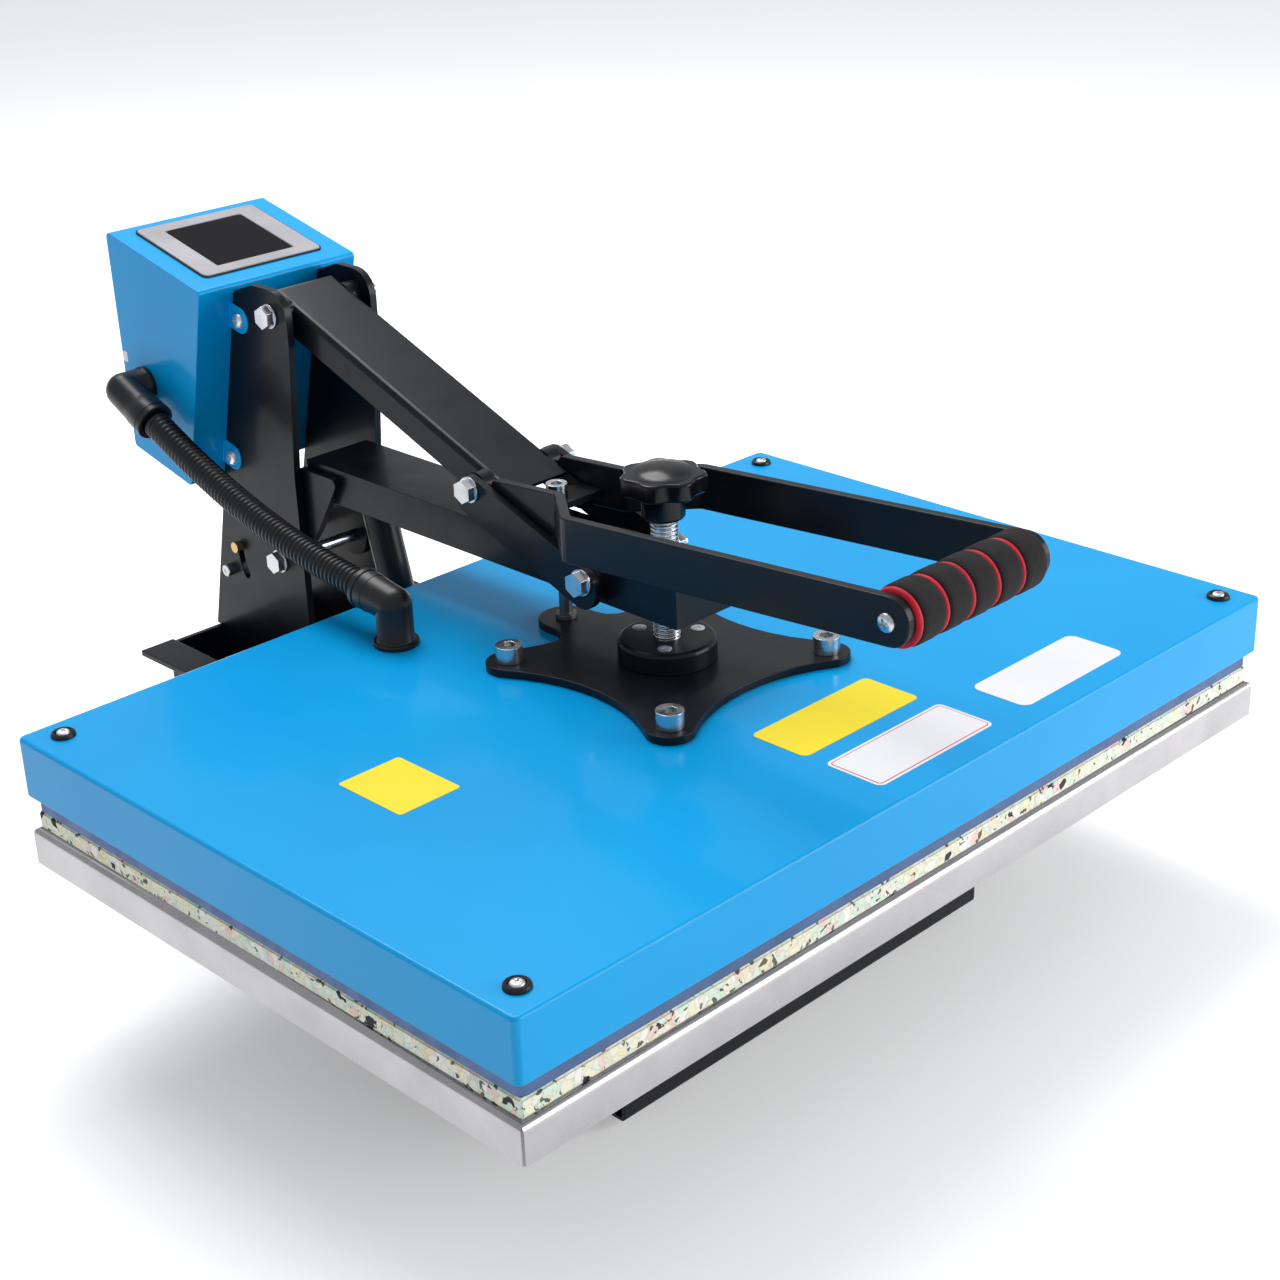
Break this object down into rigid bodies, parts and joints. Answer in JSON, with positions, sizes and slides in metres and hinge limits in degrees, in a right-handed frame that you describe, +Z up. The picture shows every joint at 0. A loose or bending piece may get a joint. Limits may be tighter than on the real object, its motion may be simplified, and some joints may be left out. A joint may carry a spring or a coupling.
{
  "type": "flat heat press",
  "caption": "Flat clamshell heat press with a toggle lever, pressure knob, hinged heated platen, foam pad, gas strut and rear control box.",
  "frame": {"origin": "middle of the whole press's box, on the table", "axes": "+Z up, the operator stands on -Y at the grip, the control box is on +Y, +X to the operator's right"},
  "size_m": [0.608, 0.6704, 0.3851],
  "materials": {
    "azure_paint": "gloss powder coat",
    "black_paint": "satin powder coat",
    "zinc": "zinc plated",
    "yellow_zinc": "yellow zinc plated",
    "stainless": "bright folded sheet",
    "aluminium": "cast",
    "rebonded_foam": "rebonded foam, matte",
    "rubber": "matte",
    "black_plastic": "satin",
    "grey_plastic": "satin",
    "screen": "gloss",
    "insulation": "fibre board"
  },
  "bodies": {
    "frame": {"base_rail_left": "black_paint", "base_rail_right": "black_paint", "front_foot": "black_paint", "rear_foot": "black_paint", "cross_plate_front": "black_paint", "cross_plate_rear": "black_paint", "rubber_foot_front_left": "rubber", "rubber_foot_front_right": "rubber", "rubber_foot_rear_left": "rubber", "rubber_foot_rear_right": "rubber", "upright_left": "black_paint", "upright_right": "black_paint", "bed_plate": "black_paint", "lower_tray": "stainless", "foam_pad": "rebonded_foam", "strut_anchor_rod": "zinc", "control_box": "azure_paint", "touch_bezel": "grey_plastic", "touch_screen": "screen", "box_elbow": "black_plastic", "inlet_module": "black_plastic", "lever_pivot_bolt": "zinc", "lever_pivot_nut": "zinc", "arm_pivot_bolt": "zinc", "arm_pivot_nut": "zinc", "hose": "black_plastic"},
    "arm": {"lower_arm": "black_paint", "arm_bracket_left": "black_paint", "arm_bracket_right": "black_paint", "spindle_nut": "zinc", "limit_pin": "yellow_zinc", "strut_upper_pin": "zinc", "arm_toggle_bolt": "zinc", "arm_toggle_nut": "zinc"},
    "platen": {"spider_plate": "black_paint", "thrust_flange": "black_paint", "spider_bolt_front_left": "zinc", "spider_bolt_front_right": "zinc", "spider_bolt_rear_left": "zinc", "spider_bolt_rear_right": "zinc", "guide_pin": "zinc", "upper_cover": "azure_paint", "insulation_pad": "insulation", "heating_plate": "aluminium", "cover_elbow": "black_plastic"},
    "pressure_screw": {"spindle": "zinc", "pressure_knob": "black_plastic"},
    "lever": {"lever_channel": "black_paint", "handle_bar_left": "black_paint", "handle_bar_right": "black_paint", "grip_tube": "zinc", "grip_foam": "rubber", "stop_bolt": "zinc"},
    "toggles": {"toggle_left": "black_paint", "toggle_right": "black_paint", "toggle_bolt_left": "zinc", "toggle_bolt_right": "zinc"},
    "strut_tube": {"strut_cylinder": "black_paint"},
    "strut_piston": {"strut_rod": "zinc"},
    "rocker": {"switch_rocker": "black_plastic"}
  },
  "joints": [
    {"name": "arm_lift", "type": "hinge", "parent": "frame", "child": "arm", "pos_m": [0, 0.21195, 0.1775], "axis": [-1, 0, 0], "range_deg": [0, 25], "deforming": ["hose"]},
    {"name": "lever_lift", "type": "hinge", "parent": "frame", "child": "lever", "pos_m": [0, 0.19595, 0.3475], "axis": [-1, 0, 0], "range_deg": [0, 50.95]},
    {"name": "toggle_swing", "type": "hinge", "parent": "arm", "child": "toggles", "pos_m": [0, -0.08105, 0.2425], "axis": [1, 0, 0], "range_deg": [0, 64.49]},
    {"name": "platen_slide", "type": "slide", "parent": "arm", "child": "platen", "axis": [0, 0, 1], "range_m": [0, 0.008]},
    {"name": "pressure_turn", "type": "hinge", "parent": "platen", "child": "pressure_screw", "pos_m": [0, -0.11205, 0.209], "axis": [0, 0, 1], "range_deg": [0, 1440.5]},
    {"name": "strut_tilt", "type": "hinge", "parent": "frame", "child": "strut_tube", "pos_m": [0, 0.10995, 0.069], "axis": [-1, 0, 0], "range_deg": [0, 7.16]},
    {"name": "strut_slide", "type": "slide", "parent": "strut_tube", "child": "strut_piston", "axis": [0, 0.248, 0.9688], "range_m": [0, 0.02801]},
    {"name": "switch_rock", "type": "hinge", "parent": "frame", "child": "rocker", "pos_m": [0, 0.33187, 0.30499], "axis": [1, 0, 0], "range_deg": [-8, 8]}
  ],
  "couplings": [
    {"joint": "lever_lift", "follows": "arm_lift", "ratio": 2.0359},
    {"joint": "toggle_swing", "follows": "arm_lift", "ratio": 2.5776},
    {"joint": "strut_tilt", "follows": "arm_lift", "ratio": 0.28436},
    {"joint": "strut_slide", "follows": "arm_lift", "m_per_rad": 0.063962},
    {"joint": "pressure_turn", "follows": "platen_slide", "rad_per_m": 3141.6}
  ]
}
